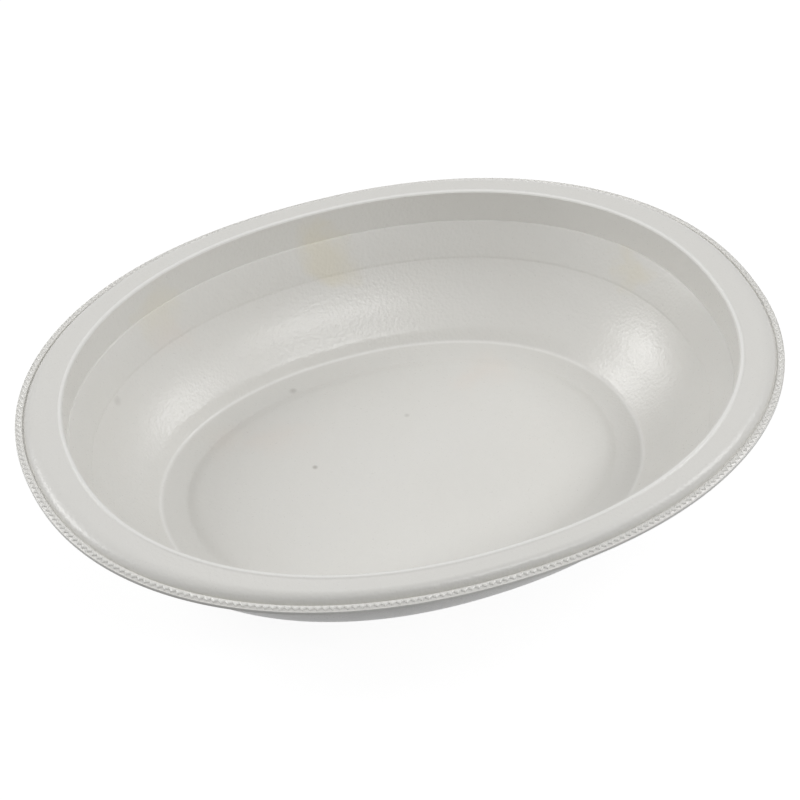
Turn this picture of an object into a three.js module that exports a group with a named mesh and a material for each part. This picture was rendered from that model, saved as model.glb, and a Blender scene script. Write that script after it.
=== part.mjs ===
// Oval deli tray, thermoformed in one piece from a sheet of foamed polystyrene.
// The tray stands on the ring foot under its floor. Its bowl is a stack of ovals that grow from the
// floor to the ridge around the opening. Outside the ridge a flange leads to a rounded shoulder,
// which drops to a thin lip with a knurled, zigzag root.
// Millimetres, +Z up, +X along the tray. The origin is on the table, under the centre.

import * as THREE from 'three';

// Opening, measured from the centre to the ridge
const OPENING_HALF_LENGTH = 100.9;
const OPENING_HALF_WIDTH = 76.6;
// A power of 2 makes an ellipse, and a larger one fills its corners
const OVAL_POWER = 2.15;

// Sheet and heights
const SHEET = 2.2;
const BOWL_DEPTH = 41;
const LIP_THICKNESS = 0.9;

// Rim, from the ridge outwards
const RIDGE_WIDTH = 0.9;
const RIDGE_RISE = 0.4;
const FLANGE_AT_ENDS = 9.7;
const FLANGE_AT_SIDES = 5.9;
const FLANGE_FALL = 0.3;
const SHOULDER_ROUND = 2.3;
const SHOULDER_DROP = 2.9;
const SHOULDER_FLARE = 2.2;
const LIP_WIDTH = 1.3;
const LIP_RISE = 0.5;

// Knurl at the root of the lip
const TOOTH_COUNT = 312;
const TOOTH_DEPTH = 0.9;

// Inner wall: inset from the ridge and depth below it, line by line
const COLLAR_INSET = 1.1;
const COLLAR_DEPTH = 11;
const WAIST_INSET = 7.3;
const WAIST_DEPTH = 21;
const WAIST_ROUND = 3;
const BELLY_INSET_AT_ENDS = 13.7;
const BELLY_INSET_AT_SIDES = 12.5;
const BELLY_DEPTH = 30.4;
const WALL_FOOT_INSET_AT_ENDS = 22.2;
const WALL_FOOT_INSET_AT_SIDES = 19.8;
const WALL_FOOT_ROUND = 2.5;
const BEVEL_WIDTH_AT_ENDS = 4.2;
const BEVEL_WIDTH_AT_SIDES = 3.2;
const BEVEL_DROP = 3;

// Floor: the channel over the ring foot, and the raised panel inside it
const CHANNEL_WIDTH = 8;
const PANEL_STEP_WIDTH = 1.6;
const PANEL_RISE = 1.2;
const PANEL_DOME = 0.8;
const PANEL_SHARE_OF_DOME = 0.5;

// Facets
const OVAL_COLUMNS = 104;
const ROUND_STEPS = 4;
const CURVE_DIVISIONS = 1200;

const RIDGE_HEIGHT = BOWL_DEPTH + SHEET;

// One closed oval around the tray's axis, at one height
class OvalCurve extends THREE.Curve {
  constructor(level) {
    super();
    this.level = level;
    this.arcLengthDivisions = CURVE_DIVISIONS;
  }

  getPoint(t, target = new THREE.Vector3()) {
    const angle = t * Math.PI * 2;
    const reach = (value) => Math.sign(value) * Math.abs(value) ** (2 / OVAL_POWER);
    return target.set(
      this.level.x * reach(Math.cos(angle)),
      this.level.y * reach(Math.sin(angle)),
      this.level.z,
    );
  }
}

// A level holds an oval's half length, half width and height in its x, y and z
function level(insetAtEnds, insetAtSides, depth) {
  return new THREE.Vector3(
    OPENING_HALF_LENGTH - insetAtEnds,
    OPENING_HALF_WIDTH - insetAtSides,
    RIDGE_HEIGHT - depth,
  );
}

// Rim corners of the upper face, from the tip of the lip to the foot of the ridge
function rimCorners() {
  const shoulderDepth = RIDGE_RISE + FLANGE_FALL;
  const rootDepth = shoulderDepth + SHOULDER_DROP;
  const rootAtEnds = RIDGE_WIDTH + FLANGE_AT_ENDS + SHOULDER_FLARE;
  const rootAtSides = RIDGE_WIDTH + FLANGE_AT_SIDES + SHOULDER_FLARE;
  return {
    tip: level(-rootAtEnds - LIP_WIDTH, -rootAtSides - LIP_WIDTH, rootDepth - LIP_RISE),
    root: level(-rootAtEnds, -rootAtSides, rootDepth),
    shoulder: level(-RIDGE_WIDTH - FLANGE_AT_ENDS, -RIDGE_WIDTH - FLANGE_AT_SIDES, shoulderDepth),
    flange: level(-RIDGE_WIDTH, -RIDGE_WIDTH, RIDGE_RISE),
    crest: level(-RIDGE_WIDTH / 2, -RIDGE_WIDTH / 2, 0),
  };
}

// Bowl corners of the upper face, from the top of the inner wall to the raised panel
function bowlCorners() {
  const bevelAtEnds = WALL_FOOT_INSET_AT_ENDS + BEVEL_WIDTH_AT_ENDS;
  const bevelAtSides = WALL_FOOT_INSET_AT_SIDES + BEVEL_WIDTH_AT_SIDES;
  const channelAtEnds = bevelAtEnds + CHANNEL_WIDTH;
  const channelAtSides = bevelAtSides + CHANNEL_WIDTH;
  const panelAtEnds = channelAtEnds + PANEL_STEP_WIDTH;
  const panelAtSides = channelAtSides + PANEL_STEP_WIDTH;
  return {
    wallTop: level(0, 0, RIDGE_RISE),
    collar: level(COLLAR_INSET, COLLAR_INSET, COLLAR_DEPTH),
    waist: level(WAIST_INSET, WAIST_INSET, WAIST_DEPTH),
    belly: level(BELLY_INSET_AT_ENDS, BELLY_INSET_AT_SIDES, BELLY_DEPTH),
    wallFoot: level(WALL_FOOT_INSET_AT_ENDS, WALL_FOOT_INSET_AT_SIDES, BOWL_DEPTH - BEVEL_DROP),
    bevelFoot: level(bevelAtEnds, bevelAtSides, BOWL_DEPTH),
    channelFoot: level(channelAtEnds, channelAtSides, BOWL_DEPTH),
    panelEdge: level(panelAtEnds, panelAtSides, BOWL_DEPTH - PANEL_RISE),
  };
}

// Replaces a corner by a curve that starts and ends the given way along its two sides
function roundedCorner(before, corner, after, reach) {
  const start = corner.clone().add(before.clone().sub(corner).setLength(reach));
  const end = corner.clone().add(after.clone().sub(corner).setLength(reach));
  return new THREE.QuadraticBezierCurve3(start, corner, end).getPoints(ROUND_STEPS);
}

// The slightly domed panel: one level part of the way in, and the centre itself
function panelLevels(edge) {
  const share = PANEL_SHARE_OF_DOME;
  const rise = PANEL_DOME * (1 - share * share);
  const middle = new THREE.Vector3(edge.x * share, edge.y * share, edge.z + rise);
  const centre = new THREE.Vector3(0, 0, edge.z + PANEL_DOME);
  return [middle, centre];
}

// Levels of the upper face, from the tip of the lip to the centre of the floor
function upperLevels(rim, bowl) {
  return [
    rim.tip,
    rim.root,
    ...roundedCorner(rim.root, rim.shoulder, rim.flange, SHOULDER_ROUND),
    rim.flange,
    rim.crest,
    bowl.wallTop,
    bowl.collar,
    ...roundedCorner(bowl.collar, bowl.waist, bowl.belly, WAIST_ROUND),
    bowl.belly,
    ...roundedCorner(bowl.belly, bowl.wallFoot, bowl.bevelFoot, WALL_FOOT_ROUND),
    bowl.bevelFoot,
    bowl.channelFoot,
    bowl.panelEdge,
    ...panelLevels(bowl.panelEdge),
  ];
}

// Moves the corners of the upper face through the sheet, square to both sides of each corner
function throughSheet(before, corner, after, thickness) {
  const sideNormal = (from, to) => {
    const inward = (from.x + from.y - to.x - to.y) / 2;
    return new THREE.Vector2(to.z - from.z, -inward).normalize();
  };
  const first = sideNormal(before, corner);
  const second = sideNormal(corner, after);
  const stretch = thickness / (1 + first.dot(second));
  const shift = first.add(second).multiplyScalar(stretch);
  return new THREE.Vector3(corner.x - shift.x, corner.y - shift.x, corner.z + shift.y);
}

// Levels of the under face, in the same order
function lowerLevels(rim, bowl) {
  const down = new THREE.Vector3(0, 0, -1);
  const corners = [
    rim.root,
    rim.shoulder,
    level(0, 0, RIDGE_RISE),
    bowl.collar,
    bowl.waist,
    bowl.belly,
    bowl.wallFoot,
    bowl.bevelFoot,
    bowl.channelFoot,
    bowl.panelEdge,
    panelLevels(bowl.panelEdge)[0],
  ];
  const faces = corners.slice(1, -1).map((corner, i) => {
    return throughSheet(corners[i], corner, corners[i + 2], SHEET);
  });
  const underLip = down.clone().multiplyScalar(LIP_THICKNESS);
  const panel = panelLevels(bowl.panelEdge).map((point) => point.clone().addScaledVector(down, SHEET));
  const tip = rim.tip.clone().add(underLip);
  const shoulder = faces[0];
  const root = new THREE.Vector3(shoulder.x + SHOULDER_FLARE, shoulder.y + SHOULDER_FLARE, tip.z - LIP_RISE);
  return [tip, root, ...faces, ...panel];
}

// Points of one oval, evenly spaced. The centre of the tray is a single point
function ovalPoints(oval) {
  if (oval.x === 0) {
    return [oval.clone()];
  }
  return new OvalCurve(oval).getSpacedPoints(OVAL_COLUMNS).slice(0, -1);
}

// Points of the zigzag where the shoulder meets the lip: two for each tooth
function zigzagPoints(root) {
  const bay = new THREE.Vector3(root.x - TOOTH_DEPTH, root.y - TOOTH_DEPTH, root.z);
  const noses = new OvalCurve(root).getSpacedPoints(2 * TOOTH_COUNT);
  const bays = new OvalCurve(bay).getSpacedPoints(2 * TOOTH_COUNT);
  return noses.slice(0, -1).map((nose, i) => (i % 2 === 0 ? nose : bays[i]));
}

// Joins two rings of points by triangles, whatever number of points each has
function stitch(indices, ring, next) {
  let i = 0;
  let j = 0;
  const ringSteps = ring.count > 1 ? ring.count : 0;
  const nextSteps = next.count > 1 ? next.count : 0;
  const at = (points, k) => points.start + (k % points.count);
  while (i < ringSteps || j < nextSteps) {
    const ringLeads = j >= nextSteps || (i < ringSteps && (i + 1) * next.count <= (j + 1) * ring.count);
    if (ringLeads) {
      indices.push(at(ring, i), at(ring, i + 1), at(next, j));
      i += 1;
    } else {
      indices.push(at(ring, i), at(next, j + 1), at(next, j));
      j += 1;
    }
  }
}

// One closed skin: up the under face from the centre to the lip, and down the upper face again
function trayGeometry() {
  const rim = rimCorners();
  const bowl = bowlCorners();
  const upper = upperLevels(rim, bowl);
  const lower = lowerLevels(rim, bowl);
  const ovals = [...lower.reverse(), ...upper];
  const rings = ovals.map((oval) => (oval === rim.root ? zigzagPoints(oval) : ovalPoints(oval)));
  const points = rings.flat();
  const indices = [];
  let start = 0;
  const spans = rings.map((ring) => {
    const span = { start, count: ring.length };
    start += ring.length;
    return span;
  });
  spans.slice(1).forEach((span, i) => stitch(indices, spans[i], span));
  const geometry = new THREE.BufferGeometry().setFromPoints(points);
  geometry.setIndex(indices);
  geometry.computeVertexNormals();
  return geometry;
}

const foam = new THREE.MeshStandardMaterial({ color: 0xd8d6d1, roughness: 0.55, metalness: 0 });

const tray = new THREE.Mesh(trayGeometry(), foam);
tray.name = 'tray';

const group = new THREE.Group();
group.add(tray);

export default group;
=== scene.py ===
"""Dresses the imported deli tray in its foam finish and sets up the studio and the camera.

The tray is one thermoformed piece, so it is made as one closed skin: a section of the sheet is
carried round the tray's oval by Geometry Nodes, which also press the zigzag knurl into the lip.
Sizes are in millimetres and become metres where a mesh, lamp or camera is made.
"""

import logging
import math
from dataclasses import dataclass
from enum import Enum

import bpy
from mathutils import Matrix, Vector


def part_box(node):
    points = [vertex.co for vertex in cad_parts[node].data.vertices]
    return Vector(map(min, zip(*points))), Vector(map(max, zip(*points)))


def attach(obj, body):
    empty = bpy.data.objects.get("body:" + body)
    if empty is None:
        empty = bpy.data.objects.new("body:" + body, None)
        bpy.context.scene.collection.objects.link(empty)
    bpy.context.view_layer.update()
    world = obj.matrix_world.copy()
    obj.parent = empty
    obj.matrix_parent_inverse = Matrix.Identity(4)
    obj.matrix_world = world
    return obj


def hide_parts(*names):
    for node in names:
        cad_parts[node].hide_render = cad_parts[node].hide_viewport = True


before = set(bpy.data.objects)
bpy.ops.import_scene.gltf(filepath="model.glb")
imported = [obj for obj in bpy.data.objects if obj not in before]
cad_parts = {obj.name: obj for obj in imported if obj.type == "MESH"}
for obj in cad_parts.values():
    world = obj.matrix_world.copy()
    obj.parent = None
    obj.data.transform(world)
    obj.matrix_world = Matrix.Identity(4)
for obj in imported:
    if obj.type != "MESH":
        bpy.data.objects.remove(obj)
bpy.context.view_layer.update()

MM = 0.001
# A power of 2 makes an ellipse, and a larger one fills its corners
OVAL_POWER = 2.15
Socket = bpy.types.NodeSocket

log = logging.getLogger("deli_tray")


class RayKind(Enum):
    """The rays that see the white background instead of the dimmer studio."""

    CAMERA = "Is Camera Ray"
    GLOSSY = "Is Glossy Ray"
    TRANSMISSION = "Is Transmission Ray"


class Graph:
    """Adds nodes to one node tree and wires their sockets."""

    def __init__(self, tree: bpy.types.NodeTree) -> None:
        """Keeps the tree that the nodes go to.

        Args:
            tree: The node tree to build.
        """
        self.tree = tree

    @staticmethod
    def _socket(sockets: bpy.types.bpy_prop_collection, name: str | int) -> Socket:
        """Finds a socket by its place, or the first one in use with a name.

        Args:
            sockets: A node's inputs or outputs.
            name: The socket's name or its place in the list.

        Returns:
            The socket.
        """
        if isinstance(name, int):
            return sockets[name]
        return next(socket for socket in sockets if socket.name == name and socket.enabled)

    def add(self, kind: str, inputs: dict | None = None, **settings: object) -> bpy.types.Node:
        """Adds a node.

        Args:
            kind: The node's type.
            inputs: What goes into each input, a socket or a plain value, by name or place.
            settings: The node's own settings.

        Returns:
            The new node.
        """
        node = self.tree.nodes.new(kind)
        for name, value in settings.items():
            setattr(node, name, value)
        for name, value in (inputs or {}).items():
            self.put(self._socket(node.inputs, name), value)
        return node

    def put(self, socket: Socket, value: object) -> None:
        """Feeds an input from another socket, or sets its value.

        Args:
            socket: The input.
            value: An output socket or a plain value.
        """
        if isinstance(value, Socket):
            self.tree.links.new(value, socket)
        else:
            socket.default_value = value

    def out(
        self, kind: str, output: str | int, inputs: dict | None = None, **settings: object
    ) -> Socket:
        """Adds a node and gives one of its outputs.

        Args:
            kind: The node's type.
            output: The output's name or place.
            inputs: What goes into each input.
            settings: The node's own settings.

        Returns:
            The output socket.
        """
        return self._socket(self.add(kind, inputs, **settings).outputs, output)

    def math(self, operation: str, *values: object) -> Socket:
        """Adds a math node.

        Args:
            operation: The node's operation.
            values: Its one, two or three inputs.

        Returns:
            The result's socket.
        """
        return self.out("ShaderNodeMath", 0, dict(enumerate(values)), operation=operation)

    def tinted(self, base: object, tint: tuple[float, float, float], share: Socket) -> Socket:
        """Tints a colour.

        Args:
            base: The colour's socket, or the plain colour.
            tint: The tint.
            share: The share of the tint.

        Returns:
            The tinted colour.
        """
        inputs = {"Factor": share, "A": base, "B": (*tint, 1.0)}
        return self.out("ShaderNodeMix", "Result", inputs, data_type="RGBA")

    def between(self, value: Socket, low: float, high: float) -> Socket:
        """Gives a share that runs from 0 to 1 while a value runs between two limits.

        Args:
            value: The value.
            low: The limit at which the share is 0.
            high: The limit at which it is 1.

        Returns:
            The share.
        """
        inputs = {"Value": value, "From Min": low, "From Max": high}
        return self.out("ShaderNodeMapRange", "Result", inputs)


@dataclass(frozen=True)
class Level:
    """One oval of the tray's skin, in millimetres.

    The knurl says how far the oval follows the teeth pressed into the lip, from 0 to 1.
    """

    ends: float
    sides: float
    height: float
    knurl: float = 0.0

    def moved(self, outwards: float, up: float) -> "Level":
        """Gives a copy that lies further out and higher.

        Args:
            outwards: How much further out.
            up: How much higher.

        Returns:
            The moved level.
        """
        return Level(self.ends + outwards, self.sides + outwards, self.height + up, self.knurl)

    def knurled(self, knurl: float = 1.0) -> "Level":
        """Gives a copy that follows the teeth.

        Args:
            knurl: How far it follows them.

        Returns:
            The level that follows the teeth.
        """
        return Level(self.ends, self.sides, self.height, knurl)

    def towards(self, other: "Level", share: float) -> "Level":
        """Gives a level on the way to another one.

        Args:
            other: The other level.
            share: The share of the way.

        Returns:
            The level on the way.
        """

        def mixed(first: float, second: float) -> float:
            """Mixes two values.

            Args:
                first: The value at a share of 0.
                second: The value at a share of 1.

            Returns:
                The value at the share.
            """
            return first + (second - first) * share

        return Level(
            mixed(self.ends, other.ends),
            mixed(self.sides, other.sides),
            mixed(self.height, other.height),
            mixed(self.knurl, other.knurl),
        )

    def distance(self, other: "Level") -> float:
        """Gives the distance to another level.

        Args:
            other: The other level.

        Returns:
            The distance in the space of half length, half width and height.
        """
        here = (self.ends, self.sides, self.height)
        return math.dist(here, (other.ends, other.sides, other.height))


@dataclass(frozen=True)
class Corner:
    """A corner of the sheet's section, with the reach of its rounding and the steps in it."""

    level: Level
    reach: float = 0.0
    steps: int = 0


def rounded_path(corners: list[Corner]) -> list[Level]:
    """Rounds the corners of a section.

    Args:
        corners: The corners in order. The first and the last stay sharp.

    Returns:
        The levels of the rounded section.
    """
    path = [corners[0].level]
    for before, corner, after in zip(corners, corners[1:], corners[2:]):
        if not corner.steps:
            path.append(corner.level)
            continue
        level = corner.level
        start = level.towards(before.level, corner.reach / level.distance(before.level))
        end = level.towards(after.level, corner.reach / level.distance(after.level))
        for step in range(corner.steps + 1):
            share = step / corner.steps
            first = start.towards(level, share)
            second = level.towards(end, share)
            path.append(first.towards(second, share))
    path.append(corners[-1].level)
    return path


@dataclass(frozen=True)
class TraySection:
    """The section of the formed sheet, from the tip of the lip to the centre of the floor.

    Lengths are in millimetres, with one value at the tray's ends and one at its sides where they
    differ. A round is the reach of a rounded corner and the number of steps in it.
    """

    opening_half_length: float = 100.9
    opening_half_width: float = 76.6
    sheet: float = 2.2
    bowl_depth: float = 41.0

    ridge_width: float = 1.7
    ridge_rise: float = 0.5
    crest_round: tuple[float, int] = (0.8, 6)
    flange_round: tuple[float, int] = (0.3, 2)
    flange_fall: float = 0.2
    flat_at_ends: float = 3.9
    flat_at_sides: float = 3.5
    shoulder_at_ends: float = 7.7
    shoulder_at_sides: float = 5.5
    shoulder_drop: float = 3.1
    shoulder_steps: int = 12

    tip_at_ends: float = 14.1
    tip_at_sides: float = 10.3
    tip_round: tuple[float, int] = (0.12, 2)
    lip_thickness: float = 0.9
    lip_fall: float = 0.7
    border_width: float = 0.15
    dimple_depth: float = 0.2
    tooth_depth: float = 0.85
    tooth_gap: float = 0.05
    rib_width: float = 0.4
    rib_bevel: float = 0.17
    rib_rise: float = 0.08
    notch_depth: float = 0.2
    groove_width: float = 0.35
    groove_depth: float = 0.5

    collar_inset: float = 0.8
    collar_depth: float = 10.9
    ledge_width: float = 0.5
    ledge_fall: float = 0.15
    ledge_round: tuple[float, int] = (0.2, 2)
    waist_at_ends: float = 7.1
    waist_at_sides: float = 6.2
    waist_depth: float = 21.0
    waist_step: float = 0.05
    waist_drop: float = 0.5
    waist_round: tuple[float, int] = (0.3, 2)
    belly_at_ends: float = 13.7
    belly_at_sides: float = 12.5
    belly_depth: float = 30.4
    belly_round: tuple[float, int] = (7.0, 5)
    foot_at_ends: float = 22.2
    foot_at_sides: float = 20.9
    foot_round: tuple[float, int] = (1.4, 3)

    bevel_at_ends: float = 4.2
    bevel_at_sides: float = 2.1
    bevel_drop: float = 3.6
    bevel_round: tuple[float, int] = (0.9, 5)
    channel_width: float = 8.0
    channel_round: tuple[float, int] = (1.2, 4)
    step_width: float = 2.8
    panel_rise: float = 0.9
    panel_dome: float = 1.1
    panel_round: tuple[float, int] = (2.0, 4)
    panel_shares: tuple[float, ...] = (0.85, 0.5, 0.15, 0.0)

    # The under face, from the shoulder inwards to the edge of the panel
    under_root_round: tuple[float, int] = (0.5, 2)
    under_rounds: tuple[tuple[float, int], ...] = (
        (1.0, 2), (0.8, 2), (1.5, 2), (4.0, 3), (7.0, 4), (1.8, 3), (0.6, 2), (0.5, 2), (0.5, 2)
    )
    under_shares: tuple[float, ...] = (0.5, 0.0)

    @property
    def ridge_height(self) -> float:
        """Gives the height of the ridge above the table.

        Returns:
            The height.
        """
        return self.bowl_depth + self.sheet

    def level(self, inset_ends: float, inset_sides: float, depth: float) -> Level:
        """Gives the oval at these insets from the ridge and this depth below it.

        Args:
            inset_ends: How far in from the ridge it lies at the tray's ends.
            inset_sides: How far in it lies at the sides.
            depth: Its depth below the ridge.

        Returns:
            The level.
        """
        half_length = self.opening_half_length - inset_ends
        return Level(half_length, self.opening_half_width - inset_sides, self.ridge_height - depth)

    def collar(self) -> Level:
        """Gives the lower edge of the steep collar.

        Returns:
            The level.
        """
        return self.level(self.collar_inset, self.collar_inset, self.collar_depth)

    def waist(self) -> Level:
        """Gives the waist of the wall.

        Returns:
            The level.
        """
        return self.level(self.waist_at_ends, self.waist_at_sides, self.waist_depth)

    def belly(self) -> Level:
        """Gives the middle of the rounded belly.

        Returns:
            The level.
        """
        return self.level(self.belly_at_ends, self.belly_at_sides, self.belly_depth)

    def wall_foot(self) -> Level:
        """Gives the foot of the wall, where the bevel starts.

        Returns:
            The level.
        """
        depth = self.bowl_depth - self.bevel_drop
        return self.level(self.foot_at_ends, self.foot_at_sides, depth)

    def bevel_foot(self) -> Level:
        """Gives the foot of the bevel, where the channel starts.

        Returns:
            The level.
        """
        ends = self.foot_at_ends + self.bevel_at_ends
        return self.level(ends, self.foot_at_sides + self.bevel_at_sides, self.bowl_depth)

    def channel_end(self) -> Level:
        """Gives the inner edge of the channel.

        Returns:
            The level.
        """
        return self.bevel_foot().moved(-self.channel_width, 0.0)

    def panel_edge(self) -> Level:
        """Gives the edge of the raised panel.

        Returns:
            The level.
        """
        return self.bevel_foot().moved(-self.channel_width - self.step_width, self.panel_rise)

    def panel(self, shares: tuple[float, ...]) -> list[Level]:
        """Gives ovals of the slightly domed panel.

        Args:
            shares: The size of each oval, as a share of the panel's edge.

        Returns:
            The levels.
        """
        edge = self.panel_edge()
        levels = []
        for share in shares:
            height = edge.height + self.panel_dome * (1 - share**2)
            levels.append(Level(edge.ends * share, edge.sides * share, height))
        return levels

    def shoulder(self) -> Level:
        """Gives the unrounded corner where the flange turns down.

        Returns:
            The level.
        """
        ends = self.ridge_width + self.shoulder_at_ends
        sides = self.ridge_width + self.shoulder_at_sides
        return self.level(-ends, -sides, self.ridge_rise + self.flange_fall)

    def shoulder_arc(self, foot: Level) -> list[Level]:
        """Gives the rounded shoulder: steep at its foot, and level where it meets the flange.

        Args:
            foot: The foot of the shoulder, in the groove behind the lip.

        Returns:
            The levels from the foot to the flange, without the foot.
        """
        ends = -self.ridge_width - self.flat_at_ends
        sides = -self.ridge_width - self.flat_at_sides
        top = self.level(ends, sides, self.ridge_rise + self.flange_fall)
        levels = []
        for step in range(1, self.shoulder_steps + 1):
            angle = math.pi / 2 * (1 - step / self.shoulder_steps)
            levels.append(
                Level(
                    top.ends + (foot.ends - top.ends) * math.sin(angle),
                    top.sides + (foot.sides - top.sides) * math.sin(angle),
                    foot.height + (top.height - foot.height) * math.cos(angle),
                )
            )
        return levels

    def tip(self) -> Level:
        """Gives the upper edge of the lip.

        Returns:
            The level.
        """
        depth = self.ridge_rise + self.flange_fall + self.shoulder_drop
        return self.level(-self.tip_at_ends, -self.tip_at_sides, depth)

    def fallen(self, level: Level) -> Level:
        """Raises a level of the lip to the slope on which the lip falls outwards.

        Args:
            level: The level, measured as if the lip were flat.

        Returns:
            The level on the slope.
        """
        reach = self.border_width + self.tooth_depth + self.rib_width
        inward = self.tip().ends - level.ends + level.knurl * self.tooth_depth / 2
        return level.moved(0.0, self.lip_fall * min(1.0, inward / reach))

    def lip(self) -> list[Level]:
        """Gives the lip's upper face: its border, dimples, ribs and notches, inwards.

        Returns:
            The levels, from the border to the edge of the groove.
        """
        border = self.tip().moved(-self.border_width, 0.0)
        dimple = border.moved(-self.rib_bevel, -self.dimple_depth)
        rib_foot = dimple.moved(-self.tooth_gap, 0.0).knurled()
        rib_edge = rib_foot.moved(-self.rib_bevel, self.dimple_depth + self.rib_rise)
        rib_back = rib_edge.moved(-self.rib_width, 0.0)
        notch = rib_back.moved(-self.rib_bevel, -self.notch_depth)
        groove_edge = notch.moved(-self.tooth_depth - self.tooth_gap, 0.0).knurled(0.0)
        flat = (border, dimple, rib_foot, rib_edge, rib_back, notch, groove_edge)
        return [self.fallen(level) for level in flat]

    def groove(self) -> Level:
        """Gives the outer edge of the groove's floor, behind the lip.

        Returns:
            The level.
        """
        return self.lip()[-1].moved(-self.rib_bevel, -self.groove_depth)

    def upper_rim(self) -> list[Corner]:
        """Gives the corners of the upper face, from the tip of the lip to the ridge.

        Returns:
            The corners.
        """
        groove_end = self.groove().moved(-self.groove_width, 0.0)
        flange = self.level(-self.ridge_width, -self.ridge_width, self.ridge_rise)
        crest = self.level(-self.ridge_width / 2, -self.ridge_width / 2, 0.0)
        return [
            Corner(self.tip().moved(0.0, -self.lip_thickness / 2)),
            Corner(self.tip(), *self.tip_round),
            *[Corner(level) for level in (*self.lip(), self.groove(), groove_end)],
            *[Corner(level) for level in self.shoulder_arc(groove_end)],
            Corner(flange, *self.flange_round),
            Corner(crest, *self.crest_round),
        ]

    def upper_bowl(self) -> list[Corner]:
        """Gives the corners of the upper face, from the top of the inner wall to the centre.

        Returns:
            The corners.
        """
        ledge = self.collar().moved(-self.ledge_width, -self.ledge_fall)
        return [
            Corner(self.level(0.0, 0.0, self.ridge_rise)),
            Corner(self.collar()),
            Corner(ledge, *self.ledge_round),
            Corner(self.waist(), *self.waist_round),
            Corner(self.waist().moved(-self.waist_step, -self.waist_drop), *self.waist_round),
            Corner(self.belly(), *self.belly_round),
            Corner(self.wall_foot(), *self.foot_round),
            Corner(self.bevel_foot(), *self.bevel_round),
            Corner(self.channel_end(), *self.channel_round),
            Corner(self.panel_edge(), *self.panel_round),
            *[Corner(level) for level in self.panel(self.panel_shares)],
        ]

    def lower_path(self) -> list[Level]:
        """Gives the levels of the under face, from the lip to the centre.

        Returns:
            The levels.
        """
        groove = self.groove()
        panel = self.panel(self.under_shares)
        skeleton = [
            groove,
            self.shoulder(),
            self.level(0.0, 0.0, self.ridge_rise),
            self.collar(),
            self.waist(),
            self.belly(),
            self.wall_foot(),
            self.bevel_foot(),
            self.channel_end(),
            self.panel_edge(),
            panel[0],
        ]
        faces = [
            through_sheet(before, level, after, self.sheet)
            for before, level, after in zip(skeleton, skeleton[1:], skeleton[2:])
        ]
        under_tip = self.tip().moved(0.0, -self.lip_thickness)
        under_root = groove.moved(0.0, -self.lip_thickness)
        corners = [Corner(under_tip), Corner(under_root, *self.under_root_round)]
        corners += [Corner(level, *rounding) for level, rounding in zip(faces, self.under_rounds)]
        corners += [Corner(level.moved(0.0, -self.sheet)) for level in panel]
        return rounded_path(corners)

    def closed_skin(self) -> list[Level]:
        """Gives the whole section.

        Returns:
            The levels, from the centre of the under face to that of the upper face.
        """
        upper = rounded_path(self.upper_rim() + self.upper_bowl())
        return list(reversed(self.lower_path())) + upper


def through_sheet(before: Level, corner: Level, after: Level, thickness: float) -> Level:
    """Moves a corner of the upper face square through the sheet.

    Args:
        before: The corner before it.
        corner: The corner to move.
        after: The corner after it.
        thickness: The sheet's thickness.

    Returns:
        The corner of the under face.
    """

    def side_normal(start: Level, end: Level) -> Vector:
        """Gives the direction through the sheet, square to the side between two corners.

        Args:
            start: The corner where the side starts.
            end: The corner where it ends.

        Returns:
            The direction, of length 1.
        """
        inward = (start.ends + start.sides - end.ends - end.sides) / 2
        return Vector((end.height - start.height, -inward)).normalized()

    first = side_normal(before, corner)
    second = side_normal(corner, after)
    shift = (first + second) * (thickness / (1 + first.dot(second)))
    return corner.moved(-shift.x, shift.y)


@dataclass(frozen=True)
class Mark:
    """A faint mark on the foam, at a place on the tray in millimetres."""

    place: tuple[float, float, float]
    radius: float
    strength: float


@dataclass(frozen=True)
class MarkGroup:
    """Marks of one kind, with their tint and the share of each radius over which they fade.

    Uneven marks get an irregular outline.
    """

    marks: tuple[Mark, ...]
    tint: tuple[float, float, float]
    softness: float
    uneven: bool = True


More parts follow.
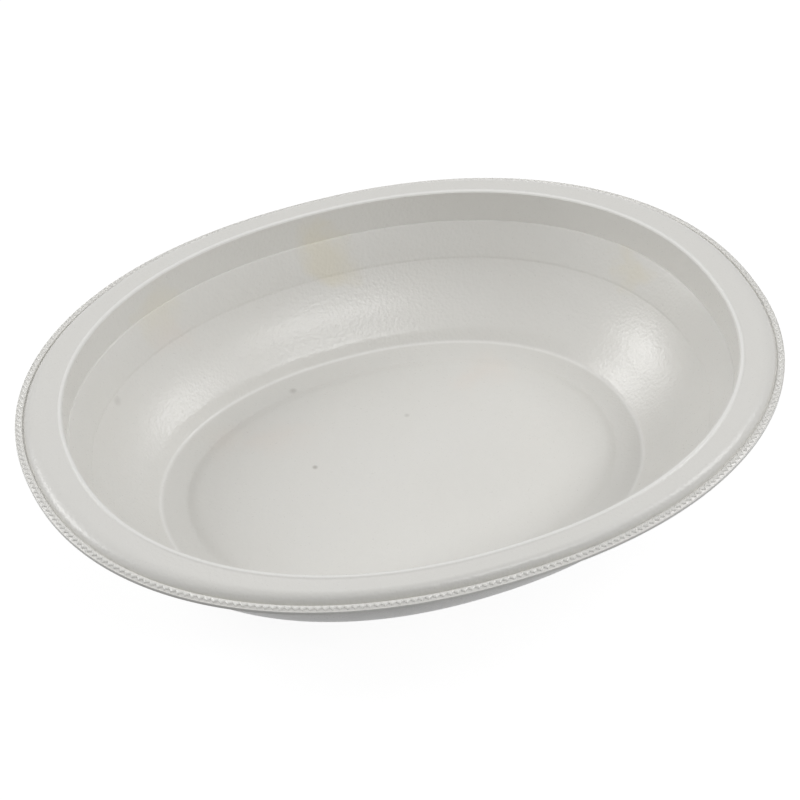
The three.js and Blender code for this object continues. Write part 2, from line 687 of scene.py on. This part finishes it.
@dataclass(frozen=True)
class FoamFinish:
    """Satin foamed polystyrene: off-white, finely grained, with the marks of use and highlights
    painted on its ridge, lip and seam lines.

    Heights, ovals and distances are in millimetres. Shares run from 0 to 1.
    """

    colour: tuple[float, float, float] = (0.79, 0.782, 0.753)
    cloud_colour: tuple[float, float, float] = (0.70, 0.64, 0.52)
    cloud_share: float = 0.1
    cloud_per_metre: float = 38.0
    cloud_detail: float = 3.0
    groups: tuple[MarkGroup, ...] = ()
    swirl_per_metre: float = 60.0
    swirl_distance: float = 26.0

    # Painted highlights: the pale colour below is painted on the ridge's crest, the lip's zigzag
    # and the seam line at the bevel's foot, where bright highlights stand
    painted_highlight_colour: tuple[float, float, float] = (0.91, 0.902, 0.875)
    crest_highlight_heights: tuple[float, float] = (42.85, 43.0)
    oval_power: float = OVAL_POWER
    lip_highlight_oval: tuple[float, float] = (115.0, 86.9)
    lip_highlight_limits: tuple[float, float] = (0.95, 0.96)
    lip_highlight_share: float = 0.35
    seam_highlight_oval: tuple[float, float] = (74.2, 53.4)
    seam_highlight_spread: float = 0.028
    seam_highlight_heights: tuple[float, float] = (3.0, 2.5)
    seam_highlight_share: float = 0.8

    roughness: tuple[float, float] = (0.23, 0.37)
    refraction: float = 1.5
    specular_level: float = 0.65
    grain_per_metre: float = 1500.0
    grain_detail: float = 2.0
    grain_roughness: float = 0.6
    cells_per_metre: float = 900.0
    cell_smoothness: float = 0.6
    relief_share: float = 0.6
    bump_strength: float = 0.35
    bump_distance: float = 0.3

    def _noise(self, graph: Graph, position: Socket, scale: float, detail: float) -> Socket:
        """Adds a noise texture.

        Args:
            graph: The material's graph.
            position: The point on the tray.
            scale: The number of bumps in a metre.
            detail: The number of finer layers.

        Returns:
            The noise's value.
        """
        inputs = {"Vector": position, "Scale": scale, "Detail": detail}
        inputs["Roughness"] = self.grain_roughness
        return graph.out("ShaderNodeTexNoise", 0, inputs)

    def _uneven(self, graph: Graph, position: Socket) -> Socket:
        """Shifts the point unevenly, so that round spots get an irregular outline.

        Args:
            graph: The material's graph.
            position: The point on the tray.

        Returns:
            The shifted point.
        """
        inputs = {"Vector": position, "Scale": self.swirl_per_metre, "Detail": self.cloud_detail}
        swirl = graph.out("ShaderNodeTexNoise", "Color", inputs)
        middle = (0.5, 0.5, 0.5)
        centred = graph.out("ShaderNodeVectorMath", 0, {0: swirl, 1: middle}, operation="SUBTRACT")
        inputs = {0: centred, "Scale": self.swirl_distance * MM}
        shift = graph.out("ShaderNodeVectorMath", 0, inputs, operation="SCALE")
        return graph.out("ShaderNodeVectorMath", 0, {0: position, 1: shift}, operation="ADD")

    def _spots(self, graph: Graph, position: Socket, group: MarkGroup) -> Socket:
        """Lays spots at the marks of one kind.

        Args:
            graph: The material's graph.
            position: The point on the tray.
            group: The marks.

        Returns:
            The strength of the strongest spot at the point.
        """
        total = None
        for mark in group.marks:
            centre = [value * MM for value in mark.place]
            inputs = {0: position, 1: centre}
            distance = graph.out("ShaderNodeVectorMath", "Value", inputs, operation="DISTANCE")
            spot = graph.out(
                "ShaderNodeMapRange",
                "Result",
                {
                    "Value": distance,
                    "From Min": mark.radius * MM,
                    "From Max": mark.radius * MM * (1 - group.softness),
                    "To Max": mark.strength,
                },
                interpolation_type="SMOOTHSTEP",
            )
            total = spot if total is None else graph.math("MAXIMUM", total, spot)
        return total

    def _oval(self, graph: Graph, position: Socket, half_sizes: tuple[float, float]) -> Socket:
        """Gives a value that is 1 on an oval and less inside it.

        Args:
            graph: The material's graph.
            position: The point on the tray.
            half_sizes: The oval's half length and half width.

        Returns:
            The value.
        """
        terms = []
        for axis, half in zip("XY", half_sizes):
            along = graph.out("ShaderNodeSeparateXYZ", axis, {"Vector": position})
            share = graph.math("DIVIDE", graph.math("ABSOLUTE", along), half * MM)
            terms.append(graph.math("POWER", share, self.oval_power))
        return graph.math("ADD", *terms)

    def _painted_highlights(self, graph: Graph, position: Socket) -> Socket:
        """Finds where highlights are painted into the colour: the ridge's crest, the lip and the
        floor's seam.

        Args:
            graph: The material's graph.
            position: The point on the tray.

        Returns:
            How pale the foam is at the point, from 0 to 1.
        """
        height = graph.out("ShaderNodeSeparateXYZ", "Z", {"Vector": position})
        # Painted highlight bands: the ridge's crest by height, the lip by its oval, and the seam
        # line at the bevel's foot
        crest = graph.between(height, *[value * MM for value in self.crest_highlight_heights])
        lip = graph.between(self._oval(graph, position, self.lip_highlight_oval), *self.lip_highlight_limits)
        beside = graph.math("SUBTRACT", self._oval(graph, position, self.seam_highlight_oval), 1.0)
        line = graph.between(graph.math("ABSOLUTE", beside), self.seam_highlight_spread, 0.0)
        inside = graph.between(height, *[value * MM for value in self.seam_highlight_heights])
        lip_highlight_mask = graph.math("MULTIPLY", lip, self.lip_highlight_share)
        seam_highlight_mask = graph.math("MULTIPLY", graph.math("MULTIPLY", line, inside), self.seam_highlight_share)
        return graph.math("MAXIMUM", crest, graph.math("MAXIMUM", lip_highlight_mask, seam_highlight_mask))

    def _base_colour(self, graph: Graph, position: Socket) -> Socket:
        """Colours the foam, with its clouds, its marks and the highlights painted on its ridge, lip
        and seam lines.

        Args:
            graph: The material's graph.
            position: The point on the tray.

        Returns:
            The colour.
        """
        cloud = self._noise(graph, position, self.cloud_per_metre, self.cloud_detail)
        share = graph.math("MULTIPLY", cloud, self.cloud_share)
        colour = graph.tinted((*self.colour, 1.0), self.cloud_colour, share)
        uneven = self._uneven(graph, position)
        for group in self.groups:
            spots = self._spots(graph, uneven if group.uneven else position, group)
            colour = graph.tinted(colour, group.tint, spots)
        # Painted highlights: paler colour on the ridge's crest, the lip and the seam line
        return graph.tinted(colour, self.painted_highlight_colour, self._painted_highlights(graph, position))

    def build(self) -> bpy.types.Material:
        """Builds the material.

        Returns:
            The material.
        """
        material = bpy.data.materials.new("foam")
        material.use_nodes = True
        material.node_tree.nodes.clear()
        graph = Graph(material.node_tree)
        position = graph.out("ShaderNodeTexCoord", "Object")
        grain = self._noise(graph, position, self.grain_per_metre, self.grain_detail)
        cells = graph.out(
            "ShaderNodeTexVoronoi",
            "Distance",
            {"Vector": position, "Scale": self.cells_per_metre, "Smoothness": self.cell_smoothness},
            feature="SMOOTH_F1",
        )
        relief = graph.math(
            "ADD",
            graph.math("MULTIPLY", grain, self.relief_share),
            graph.math("MULTIPLY", cells, self.relief_share),
        )
        bump = graph.out(
            "ShaderNodeBump",
            "Normal",
            {"Strength": self.bump_strength, "Distance": self.bump_distance * MM, "Height": relief},
        )
        low, high = self.roughness
        inputs = {"Value": grain, "To Min": low, "To Max": high}
        rough = graph.out("ShaderNodeMapRange", "Result", inputs)
        shader = graph.add(
            "ShaderNodeBsdfPrincipled",
            {
                "Base Color": self._base_colour(graph, position),
                "Roughness": rough,
                "Normal": bump,
                "IOR": self.refraction,
                "Specular IOR Level": self.specular_level,
            },
        )
        graph.add("ShaderNodeOutputMaterial", {"Surface": shader.outputs[0]})
        return material


@dataclass
class TraySkin:
    """The tray as one closed skin, carried round its oval by Geometry Nodes."""

    section: TraySection
    finish: FoamFinish
    oval_power: float = OVAL_POWER
    teeth: int = 312
    columns_per_tooth: int = 2
    guide_points: int = 4096
    crease_angle: float = 28.0
    merge_distance: float = 0.002

    def _section_mesh(self) -> bpy.types.Mesh:
        """Makes the section's levels the vertices of a mesh: half length, half width and height.

        Returns:
            The mesh.
        """
        levels = self.section.closed_skin()
        mesh = bpy.data.meshes.new("tray_section")
        mesh.from_pydata([(v.ends * MM, v.sides * MM, v.height * MM) for v in levels], [], [])
        knurl = mesh.attributes.new("knurl", "FLOAT", "POINT")
        for item, level in zip(knurl.data, levels):
            item.value = level.knurl
        return mesh

    def _tree(self) -> bpy.types.NodeTree:
        """Builds the tree that carries the section round the oval.

        Returns:
            The Geometry Nodes tree.
        """
        tree = bpy.data.node_groups.new("carry_section_round_oval", "GeometryNodeTree")
        face = tree.interface
        face.new_socket("Section", in_out="INPUT", socket_type="NodeSocketGeometry")
        for name, kind in (
            ("Oval Power", "NodeSocketFloat"),
            ("Guide Half Length", "NodeSocketFloat"),
            ("Guide Half Width", "NodeSocketFloat"),
            ("Guide Points", "NodeSocketInt"),
            ("Teeth", "NodeSocketInt"),
            ("Columns per Tooth", "NodeSocketInt"),
            ("Tooth Depth", "NodeSocketFloat"),
            ("Merge Distance", "NodeSocketFloat"),
            ("Finish", "NodeSocketMaterial"),
        ):
            face.new_socket(name, in_out="INPUT", socket_type=kind)
        face.new_socket("Tray", in_out="OUTPUT", socket_type="NodeSocketGeometry")

        graph = Graph(tree)
        given = graph.add("NodeGroupInput").outputs
        columns = graph.math("MULTIPLY", given["Teeth"], given["Columns per Tooth"])
        guide = self._guide_oval(graph, given, columns)
        index = graph.out("GeometryNodeInputIndex", 0)
        inputs = {0: given["Section"]}
        rows = graph.out("GeometryNodeAttributeDomainSize", "Point Count", inputs, component="MESH")
        # The half keeps rounding from putting a point into the column before its own
        column = graph.math("FLOOR", graph.math("DIVIDE", graph.math("ADD", index, 0.5), rows))
        row = graph.math("SUBTRACT", index, graph.math("MULTIPLY", column, rows))
        turned = graph.math("MODULO", column, columns)
        inputs = {"Vertices X": graph.math("ADD", columns, 1), "Vertices Y": rows}
        grid = graph.out("GeometryNodeMeshGrid", "Mesh", inputs)

        def sampled(geometry: Socket, value: Socket, place: Socket, kind: str) -> Socket:
            """Reads a value at one place of another geometry.

            Args:
                geometry: The other geometry.
                value: The value to read.
                place: The place's index.
                kind: The value's data type.

            Returns:
                The value at the place.
            """
            return graph.out(
                "GeometryNodeSampleIndex",
                "Value",
                {"Geometry": geometry, "Value": value, "Index": place},
                data_type=kind,
                domain="POINT",
            )

        where = graph.out("GeometryNodeInputPosition", 0)
        name = {"Name": "knurl"}
        stored = graph.out("GeometryNodeInputNamedAttribute", "Attribute", name, data_type="FLOAT")
        knurl = sampled(given["Section"], stored, row, "FLOAT")
        level_place = sampled(given["Section"], where, row, "FLOAT_VECTOR")
        level = graph.add("ShaderNodeSeparateXYZ", {0: level_place}).outputs
        spoke_place = sampled(guide, where, turned, "FLOAT_VECTOR")
        spoke = graph.add("ShaderNodeSeparateXYZ", {0: spoke_place}).outputs

        along = graph.math("MODULO", turned, given["Columns per Tooth"])
        phase = graph.math("DIVIDE", along, given["Columns per Tooth"])
        bay = graph.math("ABSOLUTE", graph.math("SUBTRACT", graph.math("MULTIPLY", phase, 2), 1))
        inset = graph.math("MULTIPLY", graph.math("MULTIPLY", given["Tooth Depth"], knurl), bay)
        reach_x = graph.math("DIVIDE", spoke[0], given["Guide Half Length"])
        reach_y = graph.math("DIVIDE", spoke[1], given["Guide Half Width"])
        place = graph.out(
            "ShaderNodeCombineXYZ",
            0,
            {
                0: graph.math("MULTIPLY", graph.math("SUBTRACT", level[0], inset), reach_x),
                1: graph.math("MULTIPLY", graph.math("SUBTRACT", level[1], inset), reach_y),
                2: level[2],
            },
        )
        skin = graph.out("GeometryNodeSetPosition", 0, {"Geometry": grid, "Position": place})
        inputs = {"Geometry": skin, "Distance": given["Merge Distance"]}
        skin = graph.out("GeometryNodeMergeByDistance", 0, inputs)
        skin = graph.out("GeometryNodeSetShadeSmooth", 0, {"Geometry": skin, "Shade Smooth": True})
        skin = graph.out("GeometryNodeRealizeInstances", 0, {"Geometry": skin})
        inputs = {"Geometry": skin, "Material": given["Finish"]}
        skin = graph.out("GeometryNodeSetMaterial", 0, inputs)
        graph.add("NodeGroupOutput", {0: skin})
        return tree

    def _guide_oval(
        self, graph: Graph, given: bpy.types.bpy_prop_collection, columns: Socket
    ) -> Socket:
        """Makes the oval whose evenly spaced points give the columns of the skin.

        Args:
            graph: The tree's graph.
            given: The tree's inputs.
            columns: The number of columns.

        Returns:
            The oval's curve.
        """
        inputs = {"Resolution": given["Guide Points"], "Radius": 1.0}
        circle = graph.out("GeometryNodeCurvePrimitiveCircle", "Curve", inputs)
        where = graph.out("GeometryNodeInputPosition", 0)
        spoke = graph.add("ShaderNodeSeparateXYZ", {0: where}).outputs
        power = graph.math("DIVIDE", 2.0, given["Oval Power"])

        def stretched(value: Socket, half: Socket) -> Socket:
            """Bends one coordinate of the circle to the oval's power and size.

            Args:
                value: The coordinate.
                half: The oval's half length or half width.

            Returns:
                The oval's coordinate.
            """
            bent = graph.math("POWER", graph.math("ABSOLUTE", value), power)
            signed = graph.math("MULTIPLY", graph.math("SIGN", value), bent)
            return graph.math("MULTIPLY", signed, half)

        inputs = {
            0: stretched(spoke[0], given["Guide Half Length"]),
            1: stretched(spoke[1], given["Guide Half Width"]),
        }
        place = graph.out("ShaderNodeCombineXYZ", 0, inputs)
        oval = graph.out("GeometryNodeSetPosition", 0, {"Geometry": circle, "Position": place})
        inputs = {"Curve": oval, "Count": columns}
        return graph.out("GeometryNodeResampleCurve", "Curve", inputs, mode="COUNT")

    def build(self) -> bpy.types.Object:
        """Builds the tray, dresses it, attaches it to the root body and hides the imported tray.

        Returns:
            The tray's object.
        """
        tray = bpy.data.objects.new("tray_skin", self._section_mesh())
        bpy.context.scene.collection.objects.link(tray)
        tree = self._tree()
        tip = self.section.tip()
        values = {
            "Oval Power": self.oval_power,
            "Guide Half Length": tip.ends * MM,
            "Guide Half Width": tip.sides * MM,
            "Guide Points": self.guide_points,
            "Teeth": self.teeth,
            "Columns per Tooth": self.columns_per_tooth,
            "Tooth Depth": self.section.tooth_depth * MM,
            "Merge Distance": self.merge_distance * MM,
            "Finish": self.finish.build(),
        }
        modifier = tray.modifiers.new("carry", "NODES")
        modifier.node_group = tree
        for item in tree.interface.items_tree:
            if item.name in values:
                modifier[item.identifier] = values[item.name]
        evaluated = tray.evaluated_get(bpy.context.evaluated_depsgraph_get())
        mesh = bpy.data.meshes.new_from_object(evaluated)
        tray.modifiers.remove(modifier)
        tray.data = mesh
        mesh.name = "tray_skin"
        mesh.set_sharp_from_angle(angle=math.radians(self.crease_angle))
        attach(tray, "root")
        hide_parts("tray")
        return tray


@dataclass(frozen=True)
class Softbox:
    """A soft rectangular lamp, aimed at the tray. Angles are in degrees and lengths in metres."""

    name: str
    azimuth: float
    elevation: float
    distance: float
    width: float
    depth: float
    watts: float

    def build(self, target: Vector) -> bpy.types.Object:
        """Builds the lamp.

        Args:
            target: The point it is aimed at.

        Returns:
            The lamp's object.
        """
        lamp = bpy.data.lights.new(self.name, "AREA")
        lamp.shape = "RECTANGLE"
        lamp.size = self.width
        lamp.size_y = self.depth
        lamp.energy = self.watts
        softbox = bpy.data.objects.new(self.name, lamp)
        direction = compass(self.azimuth, self.elevation)
        softbox.location = target + direction * self.distance
        softbox.rotation_mode = "QUATERNION"
        softbox.rotation_quaternion = direction.to_track_quat("Z", "Y")
        bpy.context.scene.collection.objects.link(softbox)
        return softbox


def compass(azimuth: float, elevation: float) -> Vector:
    """Gives the direction from the tray towards a place round it.

    Args:
        azimuth: Degrees round the tray. At 0 the place is in front, at 90 it is on the right.
        elevation: Degrees above the table.

    Returns:
        The direction, of length 1.
    """
    turn, rise = math.radians(azimuth), math.radians(elevation)
    flat = math.cos(rise)
    return Vector((math.sin(turn) * flat, -math.cos(turn) * flat, math.sin(rise)))


@dataclass(frozen=True)
class Studio:
    """The pale floor, the white surroundings and the soft lamps, in metres."""

    floor_half_size: float = 3.0
    floor_colour: float = 0.16
    floor_glow: float = 0.93
    ambient_at_horizon: float = 0.16
    ambient_overhead: float = 0.4
    softboxes: tuple[Softbox, ...] = (
        Softbox("overhead", 168.0, 66.0, 1.1, 0.22, 0.16, 0.45),
        Softbox("front", 23.0, 44.0, 1.1, 0.34, 0.22, 2.1),
        Softbox("right", 80.0, 42.0, 1.1, 0.45, 0.35, 2.8),
        Softbox("back_left", -122.0, 31.0, 1.1, 0.5, 0.4, 4.2),
    )

    def _background_share(self, graph: Graph) -> Socket:
        """Finds the rays that see the white background.

        Args:
            graph: The graph of the material or the world.

        Returns:
            The share: 1 on those rays and 0 on the others.
        """
        path = graph.add("ShaderNodeLightPath").outputs
        share = path[RayKind.CAMERA.value]
        for kind in (RayKind.GLOSSY, RayKind.TRANSMISSION):
            share = graph.math("MAXIMUM", share, path[kind.value])
        return share

    def _floor_material(self) -> bpy.types.Material:
        """Builds the floor's finish: it keeps the shadow and looks white to the camera.

        Returns:
            The material.
        """
        material = bpy.data.materials.new("pale_floor")
        material.use_nodes = True
        material.node_tree.nodes.clear()
        graph = Graph(material.node_tree)
        grey = (self.floor_colour, self.floor_colour, self.floor_colour, 1.0)
        matte = graph.out("ShaderNodeBsdfDiffuse", 0, {"Color": grey})
        glow = graph.math("MULTIPLY", self._background_share(graph), self.floor_glow)
        light = graph.out("ShaderNodeEmission", 0, {"Strength": glow})
        lit = graph.out("ShaderNodeAddShader", 0, {0: matte, 1: light})
        graph.add("ShaderNodeOutputMaterial", {"Surface": lit})
        return material

    def _build_floor(self, height: float) -> bpy.types.Object:
        """Builds the floor under the tray.

        Args:
            height: The height of its surface.

        Returns:
            The floor's object.
        """
        half = self.floor_half_size
        mesh = bpy.data.meshes.new("floor")
        ends = ((-half, -half), (half, -half), (half, half), (-half, half))
        mesh.from_pydata([(x, y, height) for x, y in ends], [], [(0, 1, 2, 3)])
        mesh.materials.append(self._floor_material())
        floor = bpy.data.objects.new("floor", mesh)
        bpy.context.scene.collection.objects.link(floor)
        return floor

    def _build_world(self) -> bpy.types.World:
        """Builds the surroundings: white to the camera, dimmer as light on the tray.

        Returns:
            The world.
        """
        world = bpy.data.worlds.new("studio")
        world.use_nodes = True
        world.node_tree.nodes.clear()
        graph = Graph(world.node_tree)
        share = self._background_share(graph)
        direction = graph.out("ShaderNodeTexCoord", "Generated")
        ambient = graph.out(
            "ShaderNodeMapRange",
            "Result",
            {
                "Value": graph.out("ShaderNodeSeparateXYZ", "Z", {"Vector": direction}),
                "To Min": self.ambient_at_horizon,
                "To Max": self.ambient_overhead,
            },
        )
        inputs = {"Value": share, "To Min": ambient, "To Max": 1.0}
        strength = graph.out("ShaderNodeMapRange", "Result", inputs)
        inputs = {"Color": (1.0, 1.0, 1.0, 1.0), "Strength": strength}
        background = graph.out("ShaderNodeBackground", 0, inputs)
        graph.add("ShaderNodeOutputWorld", {"Surface": background})
        bpy.context.scene.world = world
        return world

    def build(self, target: Vector, floor_height: float) -> None:
        """Builds the floor, the surroundings and the lamps.

        Args:
            target: The point that the lamps are aimed at.
            floor_height: The height of the floor's surface.
        """
        self._build_floor(floor_height)
        self._build_world()
        for softbox in self.softboxes:
            softbox.build(target)


@dataclass(frozen=True)
class PhotoCamera:
    """The camera at the photograph's viewing angle, in degrees, metres and pixels."""

    azimuth: float = -22.7
    elevation: float = 42.6
    distance: float = 1.0132
    sensor: float = 36.0
    focal_pixels: float = 3469.0
    image_pixels: float = 800.0
    nearest: float = 0.05
    furthest: float = 20.0
    opening_pixels: tuple[float, float] = (3.8, 28.9)

    def build(self, opening_centre: Vector) -> bpy.types.Object:
        """Builds the camera.

        Args:
            opening_centre: The centre of the tray's opening. In the image it lies right of the
                centre and above it by opening_pixels.

        Returns:
            The camera's object.
        """
        back = compass(self.azimuth, self.elevation)
        right = Vector((0.0, 0.0, 1.0)).cross(back).normalized()
        up = back.cross(right)
        pixel = self.distance / self.focal_pixels
        across, above = self.opening_pixels
        aim = opening_centre - right * (across * pixel) - up * (above * pixel)
        data = bpy.data.cameras.new("photo_camera")
        data.sensor_width = self.sensor
        data.lens = self.sensor * self.focal_pixels / self.image_pixels
        data.clip_start = self.nearest
        data.clip_end = self.furthest
        camera = bpy.data.objects.new("photo_camera", data)
        camera.location = opening_centre + back * self.distance
        camera.rotation_mode = "QUATERNION"
        camera.rotation_quaternion = (camera.location - aim).to_track_quat("Z", "Y")
        bpy.context.scene.collection.objects.link(camera)
        bpy.context.scene.camera = camera
        return camera


STAINS = MarkGroup(
    (
        Mark((5.6, 73.5, 28.6), 13.0, 0.9),
        Mark((-53.7, 63.8, 29.5), 11.0, 0.55),
        Mark((89.2, 31.6, 27.6), 8.0, 0.7),
    ),
    tint=(0.79, 0.755, 0.65),
    softness=0.8,
)
BLUSHES = MarkGroup(
    (
        Mark((37.3, 29.2, 3.6), 13.0, 0.5),
        Mark((-42.0, 34.0, 3.0), 13.0, 0.45),
        Mark((-29.0, 27.0, 3.7), 13.0, 0.45),
        Mark((-50.0, 60.5, 22.0), 9.0, 0.5),
    ),
    tint=(0.80, 0.75, 0.70),
    softness=0.9,
)
SPECKS = MarkGroup(
    (
        Mark((-17.7, 45.9, 2.2), 1.7, 0.3),
        Mark((-24.5, 10.3, 4.0), 1.2, 0.45),
        Mark((9.7, 20.7, 4.0), 1.2, 0.22),
        Mark((-74.6, 44.0, 20.1), 2.2, 0.16),
    ),
    tint=(0.22, 0.19, 0.16),
    softness=0.9,
    uneven=False,
)


def main() -> None:
    """Builds the tray, the studio and the camera, and reports each piece."""
    logging.basicConfig(level=logging.INFO, format="%(name)s: %(message)s")
    scene = bpy.context.scene
    scene.view_settings.view_transform = "Standard"
    low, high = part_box("tray")
    opening_centre = Vector((0.0, 0.0, high.z))

    finish = FoamFinish(groups=(STAINS, BLUSHES, SPECKS))
    tray = TraySkin(TraySection(), finish).build()
    size = [round(value, 4) for value in tray.dimensions]
    log.info("tray: %d faces, box %s", len(tray.data.polygons), size)
    Studio().build(Vector((0.0, 0.0, (low.z + high.z) / 2)), low.z)
    log.info("studio: floor, surroundings and lamps")
    PhotoCamera().build(opening_centre)
    log.info("camera at the photograph's viewing angle")


if __name__ == "__main__":
    main()
